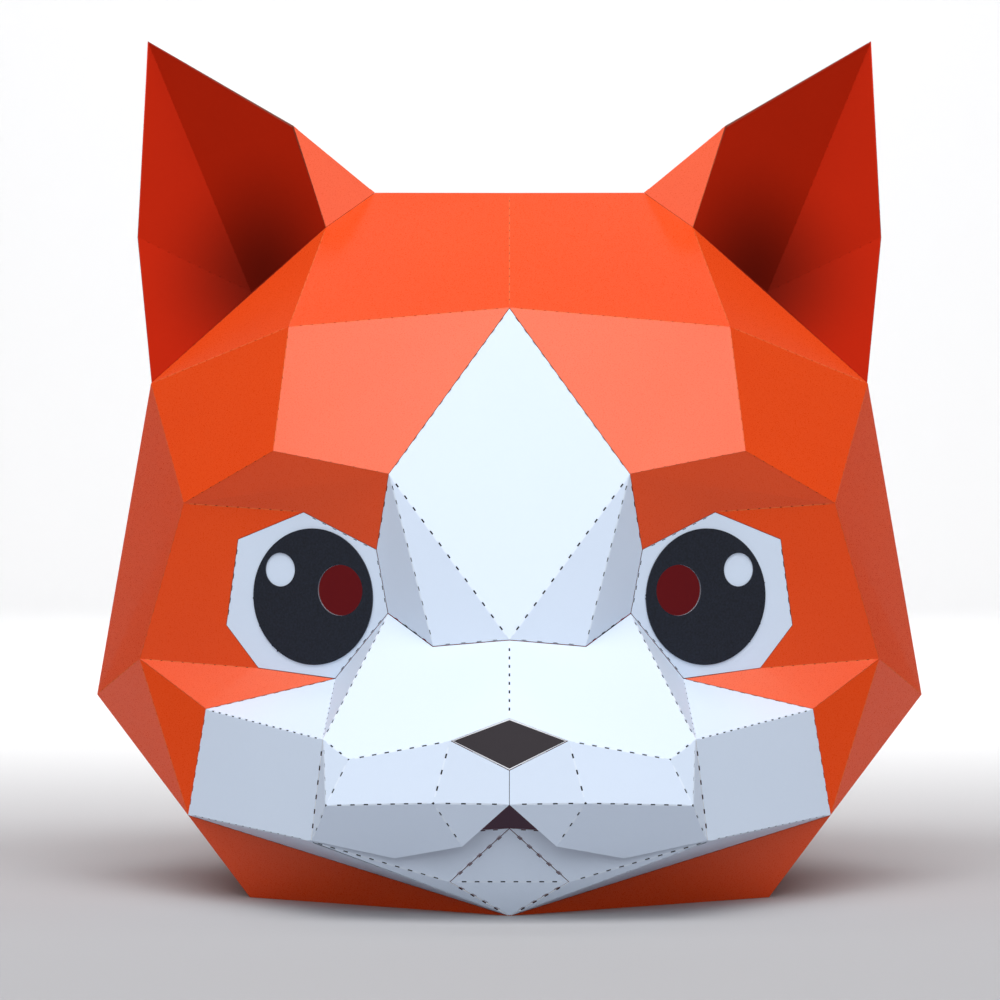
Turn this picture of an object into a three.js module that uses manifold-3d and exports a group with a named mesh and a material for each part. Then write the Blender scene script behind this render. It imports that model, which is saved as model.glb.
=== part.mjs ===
// A full-head animal mask folded and glued from flat orange and white card: a low-poly small-eared
// face, hollow, open at the neck, standing on the turned-in card rim round the neck opening.
// Millimetres. +X is to the right of someone who looks at the face, -Y is the way the face looks,
// +Z is up, and the origin is the middle of the box round the mask, on the surface it stands on.
import * as THREE from "three";
import { mergeVertices } from "three/addons/utils/BufferGeometryUtils.js";
import Module from "manifold-3d";

const wasm = await Module();
wasm.setup();

// Driving sizes of the head
const ruffWidth = 281; // from cheek point to cheek point, the widest place
const faceDepth = 125; // from the line of the cheek points forward to the fold of the upper lip
const backDepth = 146; // from the line of the cheek points back to the back of the head
const crownHeight = 236; // from the neck rim up to the front fold of the crown
const earRise = 58.5; // how far the ear tips stand above the crown

// Driving sizes of the card work
const cardWall = 1; // one layer of card with its glue
const seamGap = 0.3; // clearance where two pieces of card meet
const tabWidth = 8; // glue tab behind a seam
const tabMargin = 3; // how far a tab stops short of a square corner
const tabGap = 0.5; // clearance between a tab and the panel it backs
const smallestTab = 3; // a tab shorter or narrower than this is left out
const tabAcross = 0.4; // most of the neighbouring panel's width that a tab takes up
const tabSlanted = 0.7; // most of a tab's length that its slanted ends take up
const rimWidth = 12; // card turned in round the neck opening
const nipRadius = 2.5; // corner of the card nipped off where many folds run together

// Driving sizes of the eyes
const pupilDiameter = 44.4;
const pupilWall = 0.6;
const glintDiameter = 11; // round window in the pupil that shows the white behind it
const peepholeDiameter = 16.5;
const glintOut = 12; // from the pupil's middle, towards the temple
const glintUp = 8.7;
const peepholeIn = 10.2; // from the pupil's middle, towards the nose
const peepholeUp = 2.2;
const pupilIn = 3.7; // from the middle of the white eye patch, towards the nose
const pupilUp = 0.5;

// Fineness of the solids
const roundSteps = 40; // flats round the pupil and its holes
const nipDetail = 1; // how often the ball that nips a corner is subdivided
const cutClear = 4 * cardWall; // how far a cut runs past the card on each side
const mergeWithin = 1e-4; // points of one solid nearer than this are one point
const mitreWeight = 60; // a seam's plane holds a corner this much harder than a panel's
const looseHold = 1e-3; // keeps a corner from sliding along a line that no plane holds

const colours = {
  orange: { color: 0xf2581f, roughness: 0.62, metalness: 0 },
  white: { color: 0xeef3f8, roughness: 0.7, metalness: 0 },
  black: { color: 0x24272e, roughness: 0.8, metalness: 0 },
  charcoal: { color: 0x3f393c, roughness: 0.75, metalness: 0 },
};

// Corners where the folds meet. Each row holds shares, chosen by hand:
// across, of half the ruff width, to the side of the middle;
// forward, of the face depth, or of the back depth where it is negative;
// up, of the crown height; rise, of the ear rise, on top of that.
const corners = {
  // name: [across, forward, up, rise]
  crownTop: [0, 0.044, 0.992, 0],
  blazeTop: [0, 0.42, 0.816, 0],
  blazeTip: [0, 0.748, 0.364, 0],
  noseTop: [0, 0.972, 0.267, 0],
  foldInner: [0.166, 1, 0.158, 0],
  muzzleCorner: [0.438, 0.856, 0.103, 0],
  chinTop: [0, 0.868, 0.119, 0],
  chinBase: [0, 0.8, 0, 0],
  crownSide: [0.33, -0.106, 1, 0],
  earRoot: [0.448, -0.058, 0.947, 0],
  foreheadSide: [0.523, 0.22, 0.795, 0],
  templeBack: [0.88, -0.099, 0.721, 0],
  browPeak: [0.547, 0.436, 0.618, 0],
  browOuter: [0.768, 0.268, 0.546, 0],
  blazeSide: [0.275, 0.588, 0.586, 0],
  eyeInLow: [0.278, 0.532, 0.396, 0],
  cheekCrease: [0.878, 0.2, 0.326, 0],
  cheekPatch: [0.707, 0.384, 0.261, 0],
  ruff: [1, 0, 0.27, 0],
  jawBase: [0.604, 0.388, 0, 0],
  chinSide: [0.132, 0.836, 0.047, 0],
  earTip: [0.922, -0.408, 1, 1],
  earFold: [0.532, -0.11, 1, 0.4],
  earKink: [0.934, -0.277, 0.943, 0],
  earHeel: [0.61, -0.56, 0.873, 0],
  rearCrown: [0, -0.56, 1.008, 0],
  rearSide: [0.51, -0.86, 0.636, 0],
  occiput: [0, -1, 0.636, 0],
  sideBack: [0.855, -0.52, 0.34, 0],
  napeSide: [0.555, -0.46, 0, 0],
  nape: [0, -0.75, 0, 0],
};

// Corners that lie flush on a flat panel: across and up as above, and three corners of the panel,
// which settle how far forward they are.
const flushCorners = {
  // name: [across, up, on the plane of]
  eyeTop: [0.477, 0.534, ["browOuter", "cheekCrease", "eyeInLow"]],
  eyeInTop: [0.305, 0.483, ["browOuter", "cheekCrease", "eyeInLow"]],
  eyeBottom: [0.402, 0.305, ["browOuter", "cheekCrease", "eyeInLow"]],
  eyeOutLow: [0.586, 0.317, ["browOuter", "cheekCrease", "eyeInLow"]],
  eyeOutMid: [0.664, 0.376, ["browOuter", "cheekCrease", "eyeInLow"]],
  eyeOutTop: [0.635, 0.496, ["browOuter", "cheekCrease", "eyeInLow"]],
  earDeep: [0.643, 0.859, ["earFold", "earTip", "earRoot"]],
  bridgeLow: [0.172, 0.354, ["blazeTip", "noseTop", "eyeInLow"]],
  muzzleSide: [0.413, 0.235, ["blazeTip", "noseTop", "eyeInLow"]],
  muzzleShoulder: [0.353, 0.212, ["blazeTip", "noseTop", "eyeInLow"]],
  noseSide: [0.127, 0.238, ["blazeTip", "noseTop", "eyeInLow"]],
  noseTip: [0, 0.2, ["noseTop", "noseSide", "noseSide*"]],
  lipTop: [0, 0.156, ["noseTip", "noseSide", "foldInner"]],
  foldOuter: [0.403, 0.152, ["noseSide", "muzzleShoulder", "foldInner"]],
  jawCorner: [0.748, 0.114, ["cheekPatch", "muzzleCorner", "muzzleSide"]],
  shelfCorner: [0.449, 0.102, ["cheekPatch", "muzzleCorner", "muzzleSide"]],
  lipOuter: [0.253, 0.08, ["foldInner", "foldOuter", "muzzleCorner"]],
  lipInner: [0.103, 0.099, ["foldInner", "foldOuter", "muzzleCorner"]],
};

// The pieces of card, as the panels between their folds on the side at -X. Each panel lists its
// corners counterclockwise as seen from outside. A piece across the middle also has the mirror
// image of its panels; the others are cut twice, once for each side. The pieces that come first
// carry the glue tabs.
const cutPieces = [
  {
    name: "nose",
    card: "charcoal",
    acrossMiddle: true,
    whole: [["noseTop", "noseSide", "noseTip", "noseSide*"]],
  },
  {
    name: "eye_patch",
    card: "white",
    panels: [
      ["eyeTop", "eyeOutTop", "eyeOutMid", "eyeOutLow", "eyeBottom", "eyeInLow", "eyeInTop"],
    ],
  },
  {
    name: "blaze",
    card: "white",
    acrossMiddle: true,
    whole: [["blazeTop", "blazeSide", "blazeTip", "blazeSide*"]],
    panels: [
      ["blazeSide", "bridgeLow", "blazeTip"],
      ["blazeSide", "eyeInTop", "eyeInLow", "bridgeLow"],
    ],
  },
  {
    name: "muzzle",
    card: "white",
    acrossMiddle: true,
    panels: [
      [
        "blazeTip", "bridgeLow", "eyeInLow", "muzzleSide", "muzzleShoulder", "noseSide",
        "noseTop",
      ],
      ["muzzleShoulder", "muzzleSide", "foldOuter"],
      ["muzzleSide", "muzzleCorner", "foldOuter"],
      ["noseSide", "muzzleShoulder", "foldOuter", "foldInner"],
      ["noseTip", "noseSide", "foldInner", "lipTop"],
      ["foldInner", "foldOuter", "muzzleCorner", "lipOuter", "lipInner"],
      ["lipTop", "foldInner", "lipInner"],
    ],
  },
  {
    name: "chin",
    card: "white",
    acrossMiddle: true,
    whole: [
      ["chinTop", "chinSide", "chinSide*"],
      ["chinSide", "chinBase", "chinSide*"],
    ],
  },
  {
    name: "white_cheek",
    card: "white",
    panels: [
      ["eyeInLow", "eyeBottom", "muzzleSide"],
      ["eyeBottom", "cheekPatch", "muzzleSide"],
      ["cheekPatch", "jawCorner", "shelfCorner", "muzzleCorner", "muzzleSide"],
      ["shelfCorner", "jawCorner", "chinBase"],
      ["shelfCorner", "chinBase", "chinSide"],
      ["chinTop", "shelfCorner", "chinSide"],
    ],
  },
  {
    name: "forehead",
    card: "orange",
    acrossMiddle: true,
    panels: [
      ["crownTop", "crownSide", "earRoot", "foreheadSide", "blazeTop"],
      ["blazeTop", "foreheadSide", "browPeak", "blazeSide"],
      ["earRoot", "templeBack", "foreheadSide"],
      ["foreheadSide", "templeBack", "browOuter", "browPeak"],
    ],
  },
  {
    name: "brow_and_cheek",
    card: "orange",
    panels: [
      ["browPeak", "browOuter", "eyeTop", "eyeInTop", "blazeSide"],
      ["browOuter", "cheekCrease", "eyeOutLow", "eyeOutMid", "eyeOutTop", "eyeTop"],
      ["cheekCrease", "cheekPatch", "eyeBottom", "eyeOutLow"],
    ],
  },
  {
    name: "ruff_side",
    card: "orange",
    panels: [
      ["templeBack", "ruff", "cheekCrease", "browOuter"],
      ["cheekCrease", "ruff", "jawCorner"],
      ["cheekCrease", "jawCorner", "cheekPatch"],
    ],
  },
  {
    name: "under_jaw",
    card: "orange",
    panels: [["jawCorner", "jawBase", "chinBase"]],
  },
  {
    name: "ear_lining",
    card: "orange",
    nipped: ["earRoot", "templeBack"],
    panels: [
      ["earFold", "earTip", "earDeep", "earRoot"],
      ["earTip", "earKink", "earDeep"],
      ["earKink", "templeBack", "earDeep"],
      ["earRoot", "earDeep", "templeBack"],
    ],
  },
  {
    name: "ear",
    card: "orange",
    panels: [
      ["crownSide", "earFold", "earRoot"],
      ["crownSide", "earHeel", "earFold"],
      ["earFold", "earHeel", "earTip"],
      ["earTip", "earHeel", "earKink"],
      ["earKink", "earHeel", "templeBack"],
    ],
  },
  {
    name: "head_side",
    card: "orange",
    panels: [
      ["templeBack", "earHeel", "rearSide"],
      ["templeBack", "rearSide", "sideBack"],
      ["templeBack", "sideBack", "ruff"],
      ["rearSide", "napeSide", "sideBack"],
      ["ruff", "sideBack", "napeSide"],
      ["ruff", "napeSide", "jawBase"],
      ["ruff", "jawBase", "jawCorner"],
    ],
  },
  {
    name: "crown_rear",
    card: "orange",
    acrossMiddle: true,
    panels: [
      ["crownTop", "rearCrown", "crownSide"],
      ["crownSide", "rearCrown", "earHeel"],
      ["rearCrown", "rearSide", "earHeel"],
      ["rearCrown", "occiput", "rearSide"],
    ],
  },
  {
    name: "nape",
    card: "orange",
    acrossMiddle: true,
    panels: [
      ["occiput", "nape", "rearSide"],
      ["rearSide", "nape", "napeSide"],
    ],
  },
  {
    name: "neck_rim",
    card: "orange",
    acrossMiddle: true,
    panels: [
      ["jawBase", "jawBaseIn", "chinBaseIn", "chinBase"],
      ["napeSide", "napeSideIn", "jawBaseIn", "jawBase"],
      ["nape", "napeIn", "napeSideIn", "napeSide"],
    ],
  },
];

// A corner on the +X side has a star after its name.
const onMiddle = (name) => (corners[name] ?? flushCorners[name] ?? [1])[0] === 0;
function mirrored(name) {
  if (onMiddle(name) || rimMiddle.has(name)) return name;
  return name.endsWith("*") ? name.slice(0, -1) : name + "*";
}

const middleOfDepth = (faceDepth - backDepth) / 2; // the line of the cheek points, along Y
const positions = {};
function put(name, x, y, z) {
  positions[name] = new THREE.Vector3(x, y, z);
  if (x < 0) positions[name + "*"] = new THREE.Vector3(-x, y, z);
}
for (const [name, [across, forward, up, rise]] of Object.entries(corners)) {
  const y = middleOfDepth - forward * (forward < 0 ? backDepth : faceDepth);
  put(name, (-across * ruffWidth) / 2, y, up * crownHeight + rise * earRise);
}
for (const [name, [across, up, three]] of Object.entries(flushCorners)) {
  const plane = new THREE.Plane().setFromCoplanarPoints(...three.map((n) => positions[n]));
  const x = (-across * ruffWidth) / 2;
  const z = up * crownHeight;
  put(name, x, -(plane.normal.x * x + plane.normal.z * z + plane.constant) / plane.normal.y, z);
}

// The inner corners of the neck rim lie the rim's width inside its outer edges.
const rimMiddle = new Set(["chinBaseIn", "napeIn"]);
const rimLoop = ["chinBase", "jawBase*", "napeSide*", "nape", "napeSide", "jawBase"];
rimLoop.forEach((name, i) => {
  const here = positions[name];
  const before = positions[rimLoop[(i + rimLoop.length - 1) % rimLoop.length]];
  const after = positions[rimLoop[(i + 1) % rimLoop.length]];
  const arriving = inwardOnFloor(before, here);
  const leaving = inwardOnFloor(here, after);
  const reach = rimWidth / (1 + arriving.dot(leaving));
  const inner = name.endsWith("*") ? name.slice(0, -1) + "In*" : name + "In";
  positions[inner] = here.clone().addScaledVector(arriving.add(leaving), reach);
});
function inwardOnFloor(from, to) {
  return new THREE.Vector3(from.y - to.y, to.x - from.x, 0).normalize();
}

// Every piece with its panels as lists of corner names, for both sides.
const mirrorPanel = (panel) => panel.map(mirrored).reverse();
const pieces = [];
for (const { name, card, acrossMiddle, whole = [], panels = [], nipped = [] } of cutPieces) {
  const other = panels.map(mirrorPanel);
  if (acrossMiddle) pieces.push({ name, card, nipped, panels: [...whole, ...panels, ...other] });
  else {
    pieces.push({ name: name + "_left", card, nipped, panels });
    pieces.push({ name: name + "_right", card, nipped: nipped.map(mirrored), panels: other });
  }
}

// Outward normal of a panel that is flat to within a fraction of a millimetre.
function normalOf(panel) {
  const normal = new THREE.Vector3();
  panel.forEach((name, i) => {
    const a = positions[name];
    const b = positions[panel[(i + 1) % panel.length]];
    normal.x += (a.y - b.y) * (a.z + b.z);
    normal.y += (a.z - b.z) * (a.x + b.x);
    normal.z += (a.x - b.x) * (a.y + b.y);
  });
  return normal.normalize();
}

// Which piece and panel lie along each directed edge.
const edgeKey = (a, b) => a + ">" + b;
const edges = new Map();
for (const piece of pieces) {
  piece.normals = piece.panels.map(normalOf);
  piece.panels.forEach((panel, index) => {
    panel.forEach((a, i) => {
      const b = panel[(i + 1) % panel.length];
      edges.set(edgeKey(a, b), { piece, panel, normal: piece.normals[index], a, b });
    });
  });
}

// The rims of a piece: its edges with no panel of the same piece on the other side.
function rimsOf(piece) {
  const rims = [];
  for (const panel of piece.panels) {
    panel.forEach((a, i) => {
      const b = panel[(i + 1) % panel.length];
      const beyond = edges.get(edgeKey(b, a));
      if (!beyond || beyond.piece !== piece) rims.push({ ...edges.get(edgeKey(a, b)), beyond });
    });
  }
  return rims;
}

// The plane that ends a piece along a rim: the mitre between the two panels that meet there, or
// square to the panel at a free edge. It points into the piece.
function mitreOf({ a, b, normal, beyond }) {
  const along = positions[b].clone().sub(positions[a]).normalize();
  const inward = normal.clone().cross(along);
  if (!beyond) return { direction: inward, distance: 0 };
  const direction = along.clone().cross(normal.clone().add(beyond.normal)).normalize();
  if (direction.dot(inward) < 0) direction.negate();
  return { direction, distance: seamGap / 2 };
}

// The solid inside a closed geometry.
function solidIn(geometry) {
  geometry.deleteAttribute("normal");
  geometry.deleteAttribute("uv");
  const merged = mergeVertices(geometry, mergeWithin);
  return new wasm.Manifold(
    new wasm.Mesh({
      numProp: 3,
      vertProperties: merged.attributes.position.array,
      triVerts: new Uint32Array(merged.index.array),
    }),
  );
}

// The point nearest a corner that best keeps every plane's distance.
function settle(corner, planes) {
  const sum = new THREE.Matrix3().multiplyScalar(looseHold);
  const right = new THREE.Vector3();
  for (const { direction: d, distance, weight } of planes) {
    const own = new THREE.Matrix3().set(
      d.x * d.x, d.x * d.y, d.x * d.z,
      d.y * d.x, d.y * d.y, d.y * d.z,
      d.z * d.x, d.z * d.y, d.z * d.z,
    );
    own.elements.forEach((value, i) => (sum.elements[i] += value * weight));
    right.addScaledVector(d, distance * weight);
  }
  return positions[corner].clone().add(right.applyMatrix3(sum.invert()));
}

function solidOf(points, triangles) {
  const build = (flip) =>
    new wasm.Manifold(
      new wasm.Mesh({
        numProp: 3,
        vertProperties: new Float32Array(points.flatMap((p) => [p.x, p.y, p.z])),
        triVerts: new Uint32Array(triangles.flatMap((t) => (flip ? [t[0], t[2], t[1]] : t))),
      }),
    );
  const made = build(false);
  return made.volume() < 0 ? build(true) : made;
}

// Triangles of a flat polygon of 3-D points, in the polygon's own order.
function trianglesOf(points, normal) {
  const u = points[1].clone().sub(points[0]).cross(normal).negate().normalize();
  const v = normal.clone().cross(u);
  const flat = points.map((p) => new THREE.Vector2(p.dot(u), p.dot(v)));
  const faces = THREE.ShapeUtils.triangulateShape(flat, []);
  return faces.map(([i, j, k]) => {
    const turn = flat[j].clone().sub(flat[i]).cross(flat[k].clone().sub(flat[i]));
    return turn > 0 ? [i, j, k] : [i, k, j];
  });
}

// The folded shell of a piece: its panels with their thickness inwards.
function shellOf(piece) {
  const rims = rimsOf(piece);
  const names = [...new Set(piece.panels.flat())];
  const sheet = (depth) =>
    names.map((name) => {
      const planes = [];
      piece.panels.forEach((panel, i) => {
        if (panel.includes(name))
          planes.push({ direction: piece.normals[i], distance: -depth, weight: 1 });
      });
      for (const rim of rims)
        if (rim.a === name || rim.b === name) planes.push({ ...mitreOf(rim), weight: mitreWeight });
      return settle(name, planes);
    });
  const points = [...sheet(0), ...sheet(cardWall)];
  const outer = (name) => names.indexOf(name);
  const inner = (name) => names.indexOf(name) + names.length;
  const triangles = [];
  piece.panels.forEach((panel, index) => {
    const flat = panel.map((name) => positions[name]);
    for (const [i, j, k] of trianglesOf(flat, piece.normals[index])) {
      triangles.push([outer(panel[i]), outer(panel[j]), outer(panel[k])]);
      triangles.push([inner(panel[i]), inner(panel[k]), inner(panel[j])]);
    }
  });
  for (const { a, b } of rims) {
    triangles.push([outer(b), outer(a), inner(a)]);
    triangles.push([outer(b), inner(a), inner(b)]);
  }
  return solidOf(points, triangles);
}

// How far the end of a tab slants back at a corner of a panel, for each millimetre of width.
function slantAt(panel, corner, other) {
  const place = panel.indexOf(corner);
  const beside = [panel[(place + 1) % panel.length], panel.at(place - 1)];
  const side = positions[beside.find((name) => name !== other)].clone().sub(positions[corner]);
  const base = positions[other].clone().sub(positions[corner]);
  return 1 / Math.tan(side.angleTo(base) / 2);
}

// A glue tab: the card folds over the seam and runs on behind the neighbouring panel. It is left
// out where the two panels close to less than a right angle, and on slivers too small to hold one.
function tabOf({ a, b, panel, normal, beyond }) {
  if (!beyond || normal.dot(beyond.normal) < 0) return null;
  const start = positions[a];
  const end = positions[b];
  const length = start.distanceTo(end);
  const along = end.clone().sub(start).divideScalar(length);
  const behind = beyond.normal.clone().negate();
  const intoNeighbour = along.clone().cross(beyond.normal);
  const intoOwn = normal.clone().cross(along);
  const reach = Math.max(
    ...beyond.panel.map((name) => positions[name].clone().sub(start).dot(intoNeighbour)),
  );
  const slants = [slantAt(beyond.panel, a, b), slantAt(beyond.panel, b, a)];
  const ownSlants = [slantAt(panel, a, b), slantAt(panel, b, a)];
  const ends = slants.map((s, i) => tabMargin + 2 * cardWall * Math.max(s, ownSlants[i]));
  const room = length - ends[0] - ends[1];
  const slanted = (tabSlanted * room) / (slants[0] + slants[1]);
  const width = Math.min(tabWidth, tabAcross * reach, slanted);
  if (room < smallestTab || width < smallestTab) return null;

  const spread = 1 + normal.dot(beyond.normal);
  const fold = (depth) =>
    normal.clone().add(beyond.normal).multiplyScalar(-depth / spread);
  const own = (distance, depth) =>
    intoOwn.clone().multiplyScalar(distance).addScaledVector(normal, -depth);
  const neighbour = (distance, depth) =>
    intoNeighbour.clone().multiplyScalar(distance).addScaledVector(behind, depth);
  const near = cardWall + tabGap;
  const far = near + cardWall;
  const rootTop = 0.4 * cardWall;
  const rootBottom = 0.9 * cardWall;
  const rootFrom = 2 * seamGap;
  const rootTo = 3 * cardWall;
  const section = [
    { at: own(rootTo, rootTop), reach: 0 },
    { at: own(rootFrom, rootTop), reach: 0 },
    { at: fold(near), reach: 0 },
    { at: neighbour(width, near), reach: width },
    { at: neighbour(width, far), reach: width },
    { at: fold(far), reach: 0 },
    { at: own(rootTo, rootBottom), reach: 0 },
  ];
  const points = [
    ...section.map((s) =>
      start.clone().add(s.at).addScaledVector(along, ends[0] + s.reach * slants[0])),
    ...section.map((s) =>
      end.clone().add(s.at).addScaledVector(along, -ends[1] - s.reach * slants[1])),
  ];
  const count = section.length;
  const triangles = [];
  for (let i = 0; i < count; i += 1) {
    const j = (i + 1) % count;
    triangles.push([i, j, j + count]);
    triangles.push([i, j + count, i + count]);
  }
  const sectionFaces = trianglesOf(section.map((s) => s.at), along);
  const turned = signedArea(section.map((s) => s.at), along) > 0;
  for (const [i, j, k] of sectionFaces) {
    triangles.push(turned ? [i, k, j] : [i, j, k]);
    triangles.push(turned ? [i + count, j + count, k + count] : [i + count, k + count, j + count]);
  }
  return solidOf(points, triangles);
}
function signedArea(points, normal) {
  const sum = new THREE.Vector3();
  points.forEach((p, i) => sum.add(p.clone().cross(points[(i + 1) % points.length])));
  return sum.dot(normal);
}

// The flat frame of an eye: its middle, the direction towards the temple, up, and outwards.
function eyeFrame(side) {
  const name = side < 0 ? "eye_patch_left" : "eye_patch_right";
  const { panels, normals } = pieces.find((piece) => piece.name === name);
  const outwards = normals[0];
  const middle = new THREE.Vector3();
  panels[0].forEach((corner) => middle.addScaledVector(positions[corner], 1 / panels[0].length));
  const up = new THREE.Vector3(0, 0, 1).projectOnPlane(outwards).normalize();
  const out = up.clone().cross(outwards).normalize();
  if (out.x * side < 0) out.negate();
  return { middle, out, up, outwards };
}
const fullSize = new THREE.Vector3(1, 1, 1);

// A round bar square to the eye, its middle at out and up from the pupil's middle.
function roundBar(frame, out, up, diameter, low, high) {
  const bar = new THREE.CylinderGeometry(diameter / 2, diameter / 2, high - low, roundSteps);
  const turn = new THREE.Quaternion().setFromUnitVectors(
    new THREE.Vector3(0, 1, 0),
    frame.outwards,
  );
  const place = frame.middle
    .clone()
    .addScaledVector(frame.out, out - pupilIn)
    .addScaledVector(frame.up, up + pupilUp)
    .addScaledVector(frame.outwards, (low + high) / 2);
  return solidIn(bar.applyMatrix4(new THREE.Matrix4().compose(place, turn, fullSize)));
}
function nipAt(corner) {
  const { x, y, z } = positions[corner];
  return solidIn(new THREE.IcosahedronGeometry(nipRadius, nipDetail).translate(x, y, z));
}
function peepholeCut(side) {
  const frame = eyeFrame(side);
  return roundBar(frame, -peepholeIn, peepholeUp, peepholeDiameter, -cutClear, cutClear);
}
function pupilOf(side) {
  const frame = eyeFrame(side);
  return roundBar(frame, 0, 0, pupilDiameter, seamGap, seamGap + pupilWall)
    .subtract(roundBar(frame, glintOut, glintUp, glintDiameter, -cutClear, cutClear))
    .subtract(peepholeCut(side));
}

function meshOf(name, card, solid) {
  const { vertProperties, triVerts } = solid.getMesh();
  const geometry = new THREE.BufferGeometry();
  geometry.setAttribute("position", new THREE.BufferAttribute(new Float32Array(vertProperties), 3));
  geometry.setIndex(new THREE.BufferAttribute(new Uint32Array(triVerts), 1));
  geometry.computeVertexNormals();
  const material = new THREE.MeshStandardMaterial({ ...colours[card], flatShading: true });
  const mesh = new THREE.Mesh(geometry, material);
  mesh.name = name;
  return mesh;
}

const mask = new THREE.Group();
pieces.forEach((piece, order) => {
  let solid = shellOf(piece);
  for (const rim of rimsOf(piece)) {
    const carries = rim.beyond && pieces.indexOf(rim.beyond.piece) > order;
    const tab = carries ? tabOf(rim) : null;
    if (tab) solid = solid.add(tab);
  }
  for (const corner of piece.nipped) solid = solid.subtract(nipAt(corner));
  if (piece.name === "eye_patch_left") solid = solid.subtract(peepholeCut(-1));
  if (piece.name === "eye_patch_right") solid = solid.subtract(peepholeCut(1));
  mask.add(meshOf(piece.name, piece.card, solid));
});
mask.add(meshOf("pupil_left", "black", pupilOf(-1)));
mask.add(meshOf("pupil_right", "black", pupilOf(1)));

export default mask;
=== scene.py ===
from math import pi, radians
from random import Random

import bmesh
import bpy
from mathutils import Matrix, Vector
from mathutils.geometry import intersect_line_line, intersect_point_line
from mathutils.kdtree import KDTree


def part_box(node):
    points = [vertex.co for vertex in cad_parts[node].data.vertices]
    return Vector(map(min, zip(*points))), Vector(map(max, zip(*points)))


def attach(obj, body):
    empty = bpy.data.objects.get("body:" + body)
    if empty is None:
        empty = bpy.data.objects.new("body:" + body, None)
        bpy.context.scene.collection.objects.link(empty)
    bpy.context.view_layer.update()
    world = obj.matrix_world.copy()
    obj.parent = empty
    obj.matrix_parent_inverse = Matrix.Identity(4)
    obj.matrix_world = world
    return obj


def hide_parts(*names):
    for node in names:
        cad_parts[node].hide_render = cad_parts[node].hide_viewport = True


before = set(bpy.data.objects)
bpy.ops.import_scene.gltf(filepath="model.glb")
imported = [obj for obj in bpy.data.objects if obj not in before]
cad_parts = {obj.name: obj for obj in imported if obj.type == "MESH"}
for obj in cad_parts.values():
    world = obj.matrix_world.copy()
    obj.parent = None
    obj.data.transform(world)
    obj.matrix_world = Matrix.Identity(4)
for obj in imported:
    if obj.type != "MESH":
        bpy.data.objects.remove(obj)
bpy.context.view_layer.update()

mm = 0.001
chance = Random(11)


# A shader socket that takes part in Python sums, each of which adds a Math node.
class Wire:
    def __init__(self, finish, socket):
        self.finish = finish
        self.socket = socket

    def math(self, operation, *values):
        inputs = dict(enumerate(values))
        return self.finish.node("ShaderNodeMath", {"operation": operation}, inputs)

    def __add__(self, other):
        return self.math("ADD", self, other)

    def __radd__(self, other):
        return self.math("ADD", other, self)

    def __sub__(self, other):
        return self.math("SUBTRACT", self, other)

    def __rsub__(self, other):
        return self.math("SUBTRACT", other, self)

    def __mul__(self, other):
        return self.math("MULTIPLY", self, other)

    def __rmul__(self, other):
        return self.math("MULTIPLY", other, self)

    def clamp(self):
        return self.finish.node("ShaderNodeClamp", {}, {"Value": self})


# A material and the nodes that are added to it.
class Finish:
    def __init__(self, name, roughness, specular):
        self.material = bpy.data.materials.new(name)
        self.material.use_nodes = True
        self.nodes = self.material.node_tree.nodes
        self.links = self.material.node_tree.links
        self.shader = self.nodes["Principled BSDF"]
        self.set("Roughness", roughness)
        self.set("Specular IOR Level", specular)
        self.place = self.node("ShaderNodeTexCoord", output="Object")

    def node(self, kind, settings={}, inputs={}, output=0):
        made = self.nodes.new(kind)
        for key, value in settings.items():
            setattr(made, key, value)
        for key, value in inputs.items():
            if isinstance(value, Wire):
                self.links.new(value.socket, made.inputs[key])
            else:
                made.inputs[key].default_value = value
        return Wire(self, made.outputs[output])

    def set(self, socket, value):
        if isinstance(value, Wire):
            self.links.new(value.socket, self.shader.inputs[socket])
        else:
            self.shader.inputs[socket].default_value = value

    def noise(self, scale, detail, roughness):
        inputs = {"Vector": self.place, "Scale": scale, "Detail": detail, "Roughness": roughness}
        return self.node("ShaderNodeTexNoise", {}, inputs)

    def mix(self, amount, first, second):
        return self.node("ShaderNodeMix", {"data_type": "RGBA"}, {0: amount, 6: first, 7: second}, output=2)

    def along(self, axis):  # how far a point lies along X, Y or Z
        return self.node("ShaderNodeSeparateXYZ", {}, {"Vector": self.place}, output=axis)

    def ease(self, value, low, high):  # 0 up to low, 1 from high, and a smooth rise between them
        inputs = {"Value": value, "From Min": low, "From Max": high}
        return self.node("ShaderNodeMapRange", {"interpolation_type": "SMOOTHSTEP"}, inputs)

    def bump(self, height, strength, distance):
        inputs = {"Height": height, "Strength": strength, "Distance": distance}
        self.set("Normal", self.node("ShaderNodeBump", {}, inputs))


def linear(red, green, blue):  # a colour given in display values of 0 to 255
    def one(value):
        share = value / 255
        return share / 12.92 if share <= 0.04045 else ((share + 0.055) / 1.055) ** 2.4
    return (one(red), one(green), one(blue), 1.0)


# Smooth card with a fine pressed grain and a few longer fibres. A noise is given by its scale, detail
# and roughness.
cardFinish = {
    "grain": (2600.0, 3.0, 0.6),
    "cloud": (22.0, 2.0, 0.5),
    "fibre": (420.0, 4.0, 0.7),
    "cloudTone": 0.5,  # shares of the noises in the paint
    "fibreTone": 0.3,
    "grainTone": 0.4,
    "toneShift": 0.3,
    "grainRelief": 0.7,  # and in the surface
    "fibreRelief": 0.6,
    "reliefStrength": 0.35,
    "reliefDepth": 0.03 * mm,
    "glintSpread": 0.3,
    # painted light and shade on the insides of the card: a faint glow, colder and darker low down
    "paintedGlow": 0.08,
    "lowGlow": (150, 142, 171),
    "lowShade": (120, 50, 48),
    "coldBelow": 45 * mm,
    "warmAbove": 90 * mm,
}


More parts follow.
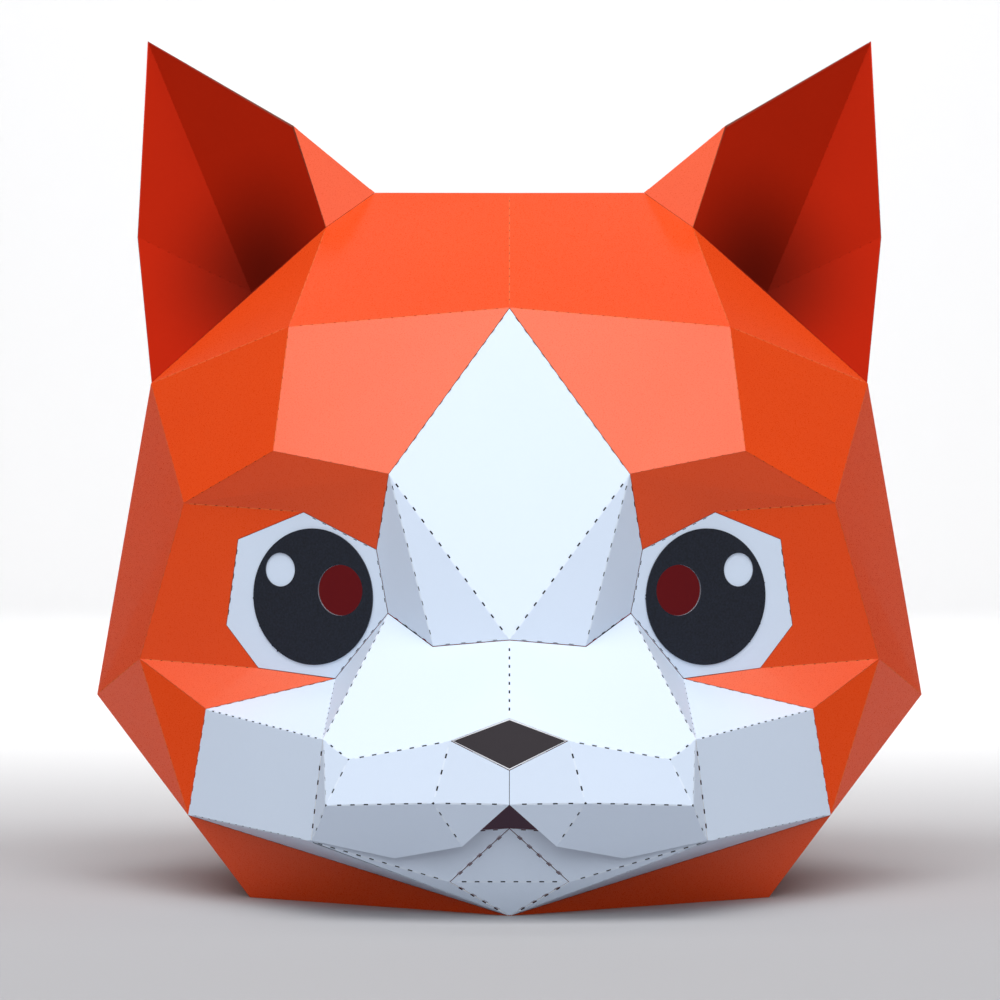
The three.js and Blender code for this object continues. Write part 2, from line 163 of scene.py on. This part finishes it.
def cardMaterial(
        name, colour, shade, roughness, grain=1.0, specular=0.3, paintedGlow=None, hollow=None, sheen=None):
    finish = Finish(name, roughness, specular)
    if sheen:
        finish.set("Specular Tint", linear(*sheen))
    pressed = finish.noise(*cardFinish["grain"])
    cloud = finish.noise(*cardFinish["cloud"])
    fibre = finish.noise(*cardFinish["fibre"])
    tone = cloud * cardFinish["cloudTone"] + fibre * cardFinish["fibreTone"]
    tone = (tone + pressed * cardFinish["grainTone"] - cardFinish["toneShift"]).clamp()
    paint = finish.mix(tone, linear(*shade), linear(*colour))
    if hollow:  # little light gets down to the deep end of the hollow
        mirrored = finish.node("ShaderNodeVectorMath", {"operation": "ABSOLUTE"}, {0: finish.place})
        away = finish.node(
            "ShaderNodeVectorMath", {"operation": "DISTANCE"}, {0: mirrored, 1: hollow["middle"]}, "Value")
        paint = finish.mix(finish.ease(away, 0.0, hollow["reach"]), linear(*hollow["shade"]), paint)
    if paintedGlow:  # painted light: the card glows faintly, colder low down, where its paint is also darker as painted shade
        high = finish.ease(finish.along("Z"), cardFinish["coldBelow"], cardFinish["warmAbove"])
        paint = finish.mix(high, linear(*cardFinish["lowShade"]), paint)
        finish.set("Emission Color", finish.mix(high, linear(*cardFinish["lowGlow"]), linear(*paintedGlow)))
        finish.set("Emission Strength", cardFinish["paintedGlow"])
    finish.set("Base Color", paint)
    spread = cardFinish["glintSpread"]
    finish.set("Roughness", pressed * spread + (roughness - spread / 2))
    relief = pressed * cardFinish["grainRelief"] + fibre * cardFinish["fibreRelief"]
    finish.bump(relief, cardFinish["reliefStrength"] * grain, cardFinish["reliefDepth"])
    return finish.material


# Torn, pressed or cut card, whose fibres show.
fibreFinish = {"speck": (1500.0, 3.0, 0.5), "strength": 0.3, "depth": 0.04 * mm, "specular": 0.3}


def plainMaterial(name, colour, roughness, mottle=0.12):
    finish = Finish(name, roughness, fibreFinish["specular"])
    speck = finish.noise(*fibreFinish["speck"])
    dark = tuple(value * (1 - 2 * mottle) for value in colour)
    finish.set("Base Color", finish.mix(speck, linear(*dark), linear(*colour)))
    finish.bump(speck, fibreFinish["strength"], fibreFinish["depth"])
    return finish.material


earHollow = {"middle": (83 * mm, 22 * mm, 209 * mm), "reach": 48 * mm, "shade": (96, 16, 5)}

materials = {
    "orange": cardMaterial(
        "orange satin card", (231, 78, 18), (220, 65, 13), roughness=0.3, grain=1.6, specular=0.52,
        sheen=(255, 243, 224)),
    "orangeFold": plainMaterial("orange card creased", (244, 112, 56), roughness=0.6),
    "orangeEdge": plainMaterial("orange card cut edge", (226, 112, 66), roughness=0.8),
    # The insides of the card carry painted light, a faint glow, and are painted darker low down as painted
    # shade.
    "orangeBack": cardMaterial(
        "orange card inside", (222, 62, 20), (208, 52, 16), roughness=0.7, paintedGlow=(208, 86, 99)),
    # The perforation colours are painted shade: the dark seen through the slits, pinholes and seam gaps of
    # real card.
    "orangeSlit": plainMaterial("orange card perforation", (120, 30, 14), roughness=0.9),
    # The ear lining's card is painted darker and redder than the orange card, with little sheen: painted
    # shade for the inside of the ear, on top of the painted shade at the hollow's deep end.
    "shadedOrange": cardMaterial(
        "orange card with painted shade", (178, 35, 9), (165, 30, 7), roughness=0.75, specular=0.03, hollow=earHollow),
    # The ear's cut edge is painted dark: painted shade along the ear's rim.
    "shadedOrangeEdge": plainMaterial("orange card cut edge with painted shade", (120, 56, 38), roughness=0.8),
    "shadedOrangeBack": cardMaterial(
        "shaded orange card inside", (176, 40, 14), (164, 34, 10), roughness=0.7, paintedGlow=(146, 34, 39)),
    "shadedOrangeSlit": plainMaterial("shaded orange card perforation", (92, 20, 10), roughness=0.9),
    "white": cardMaterial(
        "white card", (214, 228, 247), (207, 221, 240), roughness=0.55, grain=0.6, specular=0.4),
    "whiteFold": plainMaterial("white card creased", (222, 234, 250), roughness=0.7, mottle=0.02),
    "whiteEdge": plainMaterial("white card cut edge", (240, 244, 250), roughness=0.85, mottle=0.02),
    "mutedEdge": plainMaterial("white card edge in the shade", (150, 134, 140), roughness=0.85),
    "whiteBack": cardMaterial(
        "white card inside", (204, 214, 228), (194, 204, 219), roughness=0.75, paintedGlow=(137, 121, 146)),
    "whiteSlit": plainMaterial("white card perforation", (36, 34, 38), roughness=0.95),
    "charcoal": cardMaterial("charcoal card", (62, 56, 61), (50, 45, 50), roughness=0.62, grain=1.2),
    "charcoalEdge": plainMaterial("charcoal card cut edge", (246, 249, 255), roughness=0.85, mottle=0.02),
    "black": plainMaterial("black card", (33, 40, 56), roughness=0.75, mottle=0.46),
    "blackEdge": plainMaterial("black card cut edge", (96, 100, 110), roughness=0.85),
}
print("materials made")

# The card that the pieces are cut from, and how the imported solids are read.
card = {
    "thickness": 0.4 * mm,
    "slitPitch": 3.9 * mm,
    "slitDepth": 0.24 * mm,
    "slitRim": 0.03 * mm,
    "slitReach": 0.3 * mm,  # what lies this near to a slit's middle is in the slit
    "endClear": 2.2 * mm,  # left without slits at each end of a fold
    "jointWidth": 0.1 * mm,
    "shortRim": 4 * mm,  # rims shorter than this stay sharp
    "shortFold": 5.4 * mm,  # folds shorter than this stay sharp
    "tabRise": 0.84 * mm,  # brings the glue tabs against the back of their neighbour's thin card
    "tabNear": 2.6 * mm,  # a rim with a tab this near folds down into it
    "tabOverrun": 0.1,  # share of a tab's length that the middle of its rim may lie past it
    "edgeStrip": 1.8 * mm,  # faces of a solid narrower than this are the card's own edge
    "sameWithin": 0.01 * mm,  # points nearer than this are one point
    "leastLean": 0.5,  # keeps the growth of a sharp corner short
    "flatWithin": radians(0.4),
    "warp": radians(5.5),  # a panel may be warped by this much
}

# The perforated lines that each card folds along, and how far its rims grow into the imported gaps.
foldLines = {
    "orange": {
        "slit": 0.8 * mm, "crease": 0.15 * mm, "nick": 0.16 * mm, "pinhole": 0.2 * mm, "growth": 0.09 * mm},
    "white": {
        "slit": 1.5 * mm, "crease": 0.27 * mm, "nick": 0.32 * mm, "pinhole": 0.5 * mm, "growth": 0},
    "charcoal": {
        "slit": 0.8 * mm, "crease": 0.2 * mm, "nick": 0.1 * mm, "pinhole": 0.1 * mm, "growth": 0.04 * mm},
    "shadedOrange": {
        "slit": 0.7 * mm, "crease": 0.07 * mm, "nick": 0.1 * mm, "pinhole": 0.1 * mm, "growth": 0.04 * mm},
}

# Every cut piece: its colour, and what the picking of its outer side and its folds needs to know.
cutPieces = {
    "nose": {
        "colour": "charcoal", "fold": "charcoal", "slit": "black", "back": "charcoal", "paleRim": 0.34 * mm},
    "blaze": {"colour": "white", "spread": 1.2},
    "muzzle": {"colour": "white", "jointBelow": 50 * mm},
    "chin": {"colour": "white", "allRims": True},
    "forehead": {"colour": "orange"},
    "crown_rear": {"colour": "orange"},
    "nape": {"colour": "orange"},
    "neck_rim": {"colour": "orange"},
    "eye_patch": {"colour": "white", "paired": True, "edge": "mutedEdge"},
    "white_cheek": {"colour": "white", "paired": True, "allRims": True},
    "brow_and_cheek": {"colour": "orange", "paired": True, "warp": radians(12)},
    "ruff_side": {"colour": "orange", "paired": True},
    "under_jaw": {"colour": "orange", "paired": True},
    "ear_lining": {
        "colour": "shadedOrange", "fold": "shadedOrange", "edge": "orangeEdge", "paired": True,
        "edgeStrip": 8 * mm, "tabs": False, "snipped": True},
    "ear": {
        "colour": "orange", "edge": "shadedOrangeEdge", "paired": True, "edgeStrip": 8 * mm, "tabs": False},
    "head_side": {"colour": "orange", "paired": True},
}
headMiddle = Vector((0, 60 * mm, 120 * mm))  # outer sides face away from here
earMiddle = Vector((95 * mm, 52 * mm, 215 * mm))  # and the right ear's from here

# What a face of a cut piece shows, in the order of the piece's materials.
# The fourth is dark paint: the glue joints, and painted shade in the slits, the spots where folds meet and
# the seam gaps over the tabs.
shownSide, pressedFold, cutEdge, jointsAndPaintedShade, backSide = range(5)

# What an edge is marked as before it is bevelled.
unmarked, creased, butted, nicked = range(4)


def middleOf(edge):
    return (edge.verts[0].co + edge.verts[1].co) / 2


# A corner that is snipped off where two long rims would meet.
snip = {"leastRim": 16 * mm, "leastGap": 0.1 * mm, "mostGap": 8 * mm, "reach": 4 * mm}


# Brings each snipped corner of a sheet to the point where its two rims would meet.
def closeSnips(bm):
    rims = [e for e in bm.edges if e.is_boundary and e.calc_length() > snip["leastRim"]]
    rims = [[v.co.copy() for v in e.verts] for e in rims]
    corners = []
    for i, first in enumerate(rims):
        for second in rims[i + 1:]:
            gap = min((a - b).length for a in first for b in second)
            if snip["leastGap"] < gap < snip["mostGap"]:
                corners.append(sum(intersect_line_line(*first, *second), Vector()) / 2)
    for corner in corners:
        near = [v for v in bm.verts if (v.co - corner).length < snip["reach"]]
        bmesh.ops.pointmerge(bm, verts=near, merge_co=corner)


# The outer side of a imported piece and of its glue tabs: a merged copy of its solid with the card's
# edges and the inner side taken away, so that each panel is one face. The tabs' faces are marked.
def outerSide(node, settings):
    bm = bmesh.new()
    bm.from_mesh(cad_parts[node].data)
    mark = bm.faces.layers.int.new("tab")
    bm.edges.layers.int.new("crease")
    bmesh.ops.remove_doubles(bm, verts=bm.verts, dist=card["sameWithin"])
    bmesh.ops.dissolve_limit(bm, angle_limit=card["flatWithin"], verts=bm.verts, edges=bm.edges)
    strip = settings.get("edgeStrip", card["edgeStrip"])
    wide = {f for f in bm.faces if f.calc_area() > strip * max(e.calc_length() for e in f.edges)}
    taken = set()
    sheets = []
    for first in bm.faces:
        if first in taken or first not in wide:
            continue
        taken.add(first)
        grown = [first]
        for face in grown:
            for edge in face.edges:
                flat = edge.calc_face_angle() < card["warp"]
                for other in edge.link_faces:
                    if other not in taken and (flat or other in wide):
                        taken.add(other)
                        grown.append(other)
        sheets.append(grown)
    inside = earMiddle if node.startswith("ear") else headMiddle

    def outwardness(sheet):
        return sum(f.calc_area() * f.normal.dot(f.calc_center_median() - inside) for f in sheet)

    outer = max(sheets, key=outwardness)
    sheets = [sheet for sheet in sheets if outwardness(sheet) > 0 and settings.get("tabs", True)]
    sheets += [] if outer in sheets else [outer]
    for sheet in sheets:
        if sheet is outer:
            continue
        rise = sum((f.normal * f.calc_area() for f in sheet), Vector()).normalized() * card["tabRise"]
        bmesh.ops.translate(bm, vec=rise, verts=list({v for f in sheet for v in f.verts}))
        for face in sheet:
            face[mark] = 1
    kept = {face for sheet in sheets for face in sheet}
    bmesh.ops.delete(bm, geom=[f for f in bm.faces if f not in kept], context="FACES")
    if "snipped" in settings:
        closeSnips(bm)
    return bm


# Moves the rims of a sheet outwards within their panels.
def growRims(bm, distance):
    shifts = {}
    for edge in bm.edges:
        if not edge.is_boundary:
            continue
        loop = edge.link_loops[0]
        away = (loop.link_loop_next.vert.co - loop.vert.co).cross(loop.face.normal).normalized()
        for vert in edge.verts:
            shifts.setdefault(vert, []).append(away)
    for vert, ways in shifts.items():
        together = sum(ways, Vector())
        lean = max(card["leastLean"], together.dot(ways[0]))
        vert.co += together * (distance / lean)


# Gives a sheet and its tabs the card's thickness, and sets what each face shows. Returns the faces
# of the outer side, and each edge of the tabs as two points.
def thicken(bm, settings):
    mark = bm.faces.layers.int["tab"]
    outer = {f for f in bm.faces if not f[mark]}
    tabs = {f for f in bm.faces if f[mark]}
    tabEdges = [tuple(v.co.copy() for v in e.verts) for e in bm.edges if e.link_faces[0] in tabs]
    ring = set()
    if "paleRim" in settings:
        made = bmesh.ops.inset_region(
            bm, faces=list(outer), thickness=settings["paleRim"], use_boundary=True)
        ring = set(made["faces"])
    bmesh.ops.solidify(bm, geom=list(bm.faces), thickness=card["thickness"])
    for vert in bm.verts:
        vert.co.z = max(0.0, vert.co.z)  # the card stands on the floor
    shown = outer | tabs | ring
    for face in bm.faces:
        if face in outer:
            face.material_index = shownSide
        elif face in ring or (ring and face in tabs):
            face.material_index = cutEdge
        # A tab's face is painted dark: painted shade for the seam gap in front of it.
        elif face in tabs:
            face.material_index = jointsAndPaintedShade  # all that shows of a tab is in the shade of its seam
        elif any(f in shown for e in face.edges for f in e.link_faces):
            face.material_index = cutEdge
        else:
            face.material_index = backSide
    return outer, tabEdges


# Whether a rim of the outer side has one of the piece's glue tabs behind it.
def carriesTab(edge, tabEdges):
    overrun = card["tabOverrun"]
    for start, end in tabEdges:
        nearest, share = intersect_point_line(middleOf(edge), start, end)
        if -overrun < share < 1 + overrun and (nearest - middleOf(edge)).length < card["tabNear"]:
            return True
    return False


# Whether a point of the muzzle is where its two halves are butted together.
def inJoint(place, settings):
    return abs(place.x) < card["sameWithin"] and place.z < settings.get("jointBelow", 0)


# Cuts an edge into slits with card left standing between them, leaves its two ends uncreased, and
# returns the slits' middles.
def perforate(bm, edge, slitLength, spread):
    crease = bm.edges.layers.int["crease"]
    start, end = (v.co.copy() for v in edge.verts)
    length = edge.calc_length()
    room = length - 2 * card["endClear"]
    if length < card["shortFold"]:
        edge[crease] = unmarked
        return []
    count = int(room / (card["slitPitch"] * spread))
    middles = [card["endClear"] + (i + 0.5) * room / count for i in range(count)]
    places = [card["endClear"]]
    for middle in middles:
        places += [middle - slitLength / 2, middle + slitLength / 2]
    places.append(length - card["endClear"])
    made = bmesh.ops.subdivide_edges(bm, edges=[edge], cuts=len(places))
    points = [g for g in made["geom_inner"] if isinstance(g, bmesh.types.BMVert)]
    points.sort(key=lambda v: (v.co - start).length)
    for point, place in zip(points, places):
        point.co = start.lerp(end, place / length)
    for outermost, neighbour in ((points[0], points[1]), (points[-1], points[-2])):
        for stub in outermost.link_edges:
            if stub.other_vert(outermost) != neighbour:
                stub[crease] = unmarked
    return [start.lerp(end, middle / length) for middle in middles]


# Marks a piece's folds and joints and cuts its folds and tabbed rims into slits. Returns the slits'
# middles, and the points where three folds or more meet.
def markFolds(bm, outer, tabEdges, settings):
    crease = bm.edges.layers.int["crease"]
    folds = [e for e in bm.edges if all(f in outer for f in e.link_faces)]
    folds = [e for e in folds if e.calc_face_angle() > settings.get("warp", card["warp"])]
    joints = [e for e in folds if all(inJoint(v.co, settings) for v in e.verts)]
    rims = [e for e in bm.edges if sum(f in outer for f in e.link_faces) == 1]
    rims = [e for e in rims if e.calc_length() > card["shortRim"] and "paleRim" not in settings]
    rims = [e for e in rims if "allRims" in settings or carriesTab(e, tabEdges)]
    meetings = {}
    for edge in folds:
        edge[crease] = butted if edge in joints else creased
        for vert in edge.verts:
            place = vert.co.copy().freeze()
            meetings[place] = meetings.get(place, 0) + 1
    slitLength = foldLines[settings["colour"]]["slit"]
    middles = []
    for edge in [e for e in folds if e not in joints] + rims:
        middles += perforate(bm, edge, slitLength, settings.get("spread", 1.0))
    return middles, [place for place, count in meetings.items() if count > 2]


def bevel(bm, geom, width, affect, shows):
    made = bmesh.ops.bevel(
        bm, geom=geom, offset=width, offset_type="OFFSET", segments=1, profile=0.5, affect=affect,
        material=-1, clamp_overlap=False)
    for face in made["faces"]:
        face.material_index = shows


# Presses the marked folds, sinks the slits into them, and cuts a small flat spot where folds meet. Slits and
# spots are painted dark: painted shade for the dark inside a real slit or hole.
def pressFolds(bm, middles, meetings, lines):
    crease = bm.edges.layers.int["crease"]
    near = KDTree(max(1, len(middles)))
    for i, middle in enumerate(middles):
        near.insert(middle, i)
    near.balance()

    def inSlit(place):
        return bool(middles) and near.find(place)[2] < card["slitReach"]

    for edge in bm.edges:
        if edge[crease] == unmarked and inSlit(middleOf(edge)):
            edge[crease] = nicked
    bevel(bm, [e for e in bm.edges if e[crease] == nicked], lines["nick"], "EDGES", pressedFold)
    bevel(bm, [e for e in bm.edges if e[crease] == creased], lines["crease"], "EDGES", pressedFold)
    bevel(bm, [e for e in bm.edges if e[crease] == butted], card["jointWidth"], "EDGES", jointsAndPaintedShade)
    holes = [v for v in bm.verts if any((v.co - place).length < card["sameWithin"] for place in meetings)]
    holes = [v for v in holes if all(f.material_index == shownSide for f in v.link_faces)]
    bevel(bm, holes, lines["pinhole"], "VERTICES", jointsAndPaintedShade)
    cut = [f for f in bm.faces if f.material_index == pressedFold and inSlit(f.calc_center_median())]
    bmesh.ops.inset_individual(
        bm, faces=cut, thickness=card["slitRim"], depth=-card["slitDepth"], use_even_offset=True)
    for face in cut:
        face.material_index = jointsAndPaintedShade


# Makes the finished object that stands for a node. Edges that turn less than the warp are smooth.
def finishPiece(node, bm, names, warp):
    mesh = bpy.data.meshes.new(node + ".card")
    for face in bm.faces:
        face.smooth = True
    for edge in bm.edges:
        alike = len({f.material_index for f in edge.link_faces}) == 1
        edge.smooth = alike and len(edge.link_faces) == 2 and edge.calc_face_angle() < warp
    bm.to_mesh(mesh)
    bm.free()
    piece = bpy.data.objects.new(node + ".card", mesh)
    bpy.context.scene.collection.objects.link(piece)
    for name in names:
        mesh.materials.append(materials[name])
    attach(piece, "root")
    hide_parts(node)


def makeCutPiece(base, side, settings):
    colour = settings["colour"]
    lines = foldLines[colour]
    bm = outerSide(base + "_right" if side else base, settings)
    growRims(bm, lines["growth"])
    if side == "_left":
        bmesh.ops.scale(bm, vec=(-1, 1, 1), verts=bm.verts)
        bmesh.ops.reverse_faces(bm, faces=bm.faces)
    outer, tabEdges = thicken(bm, settings)
    middles, meetings = markFolds(bm, outer, tabEdges, settings)
    pressFolds(bm, middles, meetings, lines)
    names = [settings.get(part, colour + part.capitalize()) for part in ("fold", "edge", "slit", "back")]
    finishPiece(base + side, bm, [colour] + names, settings.get("warp", card["warp"]))


for base, settings in cutPieces.items():
    for side in ["_left", "_right"] if settings.get("paired") else [""]:
        makeCutPiece(base, side, settings)
print("card pieces cut and folded")

# The black pupils, stuck on the white of the eye, with two round holes in each.
pupil = {
    "diameter": 44.4 * mm,
    "thickness": 0.4 * mm,
    "lift": 0.06 * mm,
    "solidHalf": 0.3 * mm,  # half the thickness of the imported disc
    "solidGap": 0.3 * mm,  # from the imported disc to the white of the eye
    "steps": 360,
    "extraSteps": 24,
    "glintDiameter": 11 * mm,
    "glintAt": (12 * mm, 8.7 * mm),
    "peepholeDiameter": 16.5 * mm,
    "peepholeAt": (-10.2 * mm, 2.2 * mm),
    "nibs": 5,
    "nibHeight": 0.22 * mm,
    "smoothBelow": radians(12),
}


# A turn that lays the XY plane on a pupil's front, with +X towards the temple.
def pupilTurn(node, side):
    bm = bmesh.new()
    bm.from_mesh(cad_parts[node].data)
    facing = max(bm.faces, key=lambda f: f.calc_area() * (1 if f.normal.y < 0 else 0)).normal.copy()
    bm.free()
    up = (Vector((0, 0, 1)) - facing * facing.z).normalized()
    out = up.cross(facing).normalized()
    if (out.x < 0) != (side == "left"):
        out = -out
    return Matrix((out, up, facing)).transposed().to_4x4(), facing


def makePupil(side):
    node = "pupil_" + side
    low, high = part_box(node)
    turn, facing = pupilTurn(node, side)
    bm = bmesh.new()
    rings = []
    for diameter, at in ((pupil["diameter"], (0, 0)), (pupil["glintDiameter"], pupil["glintAt"]),
                         (pupil["peepholeDiameter"], pupil["peepholeAt"])):
        steps = int(pupil["steps"] * diameter / pupil["diameter"]) + pupil["extraSteps"]
        made = bmesh.ops.create_circle(
            bm, segments=steps, radius=diameter / 2, matrix=Matrix.Translation((*at, 0)))
        rings.append(made["verts"])
    for _ in range(pupil["nibs"]):
        point = rings[0][chance.randrange(len(rings[0]))]
        point.co *= 1 + pupil["nibHeight"] / (pupil["diameter"] / 2)
    bmesh.ops.triangle_fill(bm, use_beauty=True, edges=bm.edges, normal=(0, 0, 1))
    bmesh.ops.recalc_face_normals(bm, faces=bm.faces)
    if bm.faces[0].normal.z < 0:
        bmesh.ops.reverse_faces(bm, faces=bm.faces)
    bmesh.ops.solidify(bm, geom=list(bm.faces), thickness=pupil["thickness"])
    for face in bm.faces:
        face.material_index = 0 if abs(face.normal.z) > 0.5 else 1  # black, and grey round the rims
    rise = pupil["lift"] + pupil["thickness"] - pupil["solidHalf"] - pupil["solidGap"]
    place = (low + high) / 2 + facing * rise
    bmesh.ops.transform(bm, matrix=Matrix.Translation(place) @ turn, verts=bm.verts)
    if turn.determinant() < 0:
        bmesh.ops.reverse_faces(bm, faces=bm.faces)
    finishPiece(node, bm, ["black", "blackEdge"], pupil["smoothBelow"])


for side in ("left", "right"):
    makePupil(side)
print("pupils cut")

# The floor runs up behind the mask into a plain backdrop.
studio = {
    "floorWidth": 9.0,
    "floorFront": -4.5,
    "floorBack": 3.0,
    "wallHeight": 4.5,
    "sweepRadius": 1.2,
    "sweepSteps": 24,
    "nearTone": (174, 174, 177),
    "farTone": (246, 246, 247),
    "paleFrom": -0.1,  # the paper turns paler from here
    "paleTo": 0.9,  # to here
    "roughness": 0.9,
    "specular": 0.1,
    "air": 0.06,  # light from all round
}


def makeStudio():
    bm = bmesh.new()
    half = studio["floorWidth"] / 2
    start = [bm.verts.new((x, studio["floorFront"], 0)) for x in (-half, half)]
    made = bmesh.ops.extrude_edge_only(bm, edges=[bm.edges.new(start)])
    line = [g for g in made["geom"] if isinstance(g, bmesh.types.BMEdge) and not set(g.verts) & set(start)]
    bmesh.ops.translate(bm, verts=line[0].verts, vec=(0, studio["floorBack"] - studio["floorFront"], 0))
    centre = (0, studio["floorBack"], studio["sweepRadius"])
    made = bmesh.ops.spin(
        bm, geom=line, cent=centre, axis=(1, 0, 0), angle=pi / 2, steps=studio["sweepSteps"],
        use_merge=False)
    last = [g for g in made["geom_last"] if isinstance(g, bmesh.types.BMEdge)]
    made = bmesh.ops.extrude_edge_only(bm, edges=last)
    tops = [g for g in made["geom"] if isinstance(g, bmesh.types.BMVert)]
    bmesh.ops.translate(bm, verts=tops, vec=(0, 0, studio["wallHeight"]))
    bmesh.ops.recalc_face_normals(bm, faces=bm.faces)
    for face in bm.faces:
        face.smooth = True
    mesh = bpy.data.meshes.new("studio_floor")
    bm.to_mesh(mesh)
    bm.free()
    floor = bpy.data.objects.new("studio_floor", mesh)
    bpy.context.scene.collection.objects.link(floor)
    finish = Finish("pale floor", studio["roughness"], studio["specular"])
    far = finish.ease(finish.along("Y"), studio["paleFrom"], studio["paleTo"])
    finish.set("Base Color", finish.mix(far, linear(*studio["nearTone"]), linear(*studio["farTone"])))
    mesh.materials.append(finish.material)


makeStudio()

scene = bpy.context.scene
scene.view_settings.view_transform = "Standard"
scene.view_settings.look = "None"
world = bpy.data.worlds.new("studio air")
world.use_nodes = True
air = world.node_tree.nodes["Background"]
air.inputs["Color"].default_value = (1.0, 1.0, 1.0, 1.0)
air.inputs["Strength"].default_value = studio["air"]
scene.world = world

# Where each lamp stands, what it lights, its two sides and its power in watts.
lamps = {
    "softbox above": {
        "place": (0.0, -0.55, 1.75), "target": (0, -0.02, 0.12), "sides": (2.6, 0.8), "power": 31},
    "broad front light": {
        "place": (0.0, -2.3, 1.75), "target": (0, -0.02, 0.12), "sides": (4.0, 2.8), "power": 65},
    "backdrop wash": {
        "place": (0.0, 1.2, 2.6), "target": (0, 3.6, 1.0), "sides": (4.0, 1.5), "power": 95},
}
for name, settings in lamps.items():
    data = bpy.data.lights.new(name, "AREA")
    data.shape = "RECTANGLE"
    data.size, data.size_y = settings["sides"]
    data.energy = settings["power"]
    lamp = bpy.data.objects.new(name, data)
    lamp.location = settings["place"]
    aim = Vector(settings["target"]) - Vector(settings["place"])
    lamp.rotation_euler = aim.to_track_quat("-Z", "Y").to_euler()
    scene.collection.objects.link(lamp)

# The photograph was taken level, from 1.2 m in front of the mask.
view = {
    "distance": 1.213,
    "height": 129.94 * mm,
    "focalPixels": 3529,
    "imagePixels": 1000,
    "sensor": 36.0,
    "middlePixel": 509.4,  # the column that the mask's middle lies in
}
cameraData = bpy.data.cameras.new("photograph")
cameraData.sensor_width = view["sensor"]
cameraData.lens = view["focalPixels"] / view["imagePixels"] * view["sensor"]
cameraData.shift_x = (view["imagePixels"] / 2 - view["middlePixel"]) / view["imagePixels"]
camera = bpy.data.objects.new("photograph", cameraData)
camera.location = (0, -view["distance"], view["height"])
camera.rotation_euler = (pi / 2, 0, 0)
scene.collection.objects.link(camera)
scene.camera = camera
print("studio set")
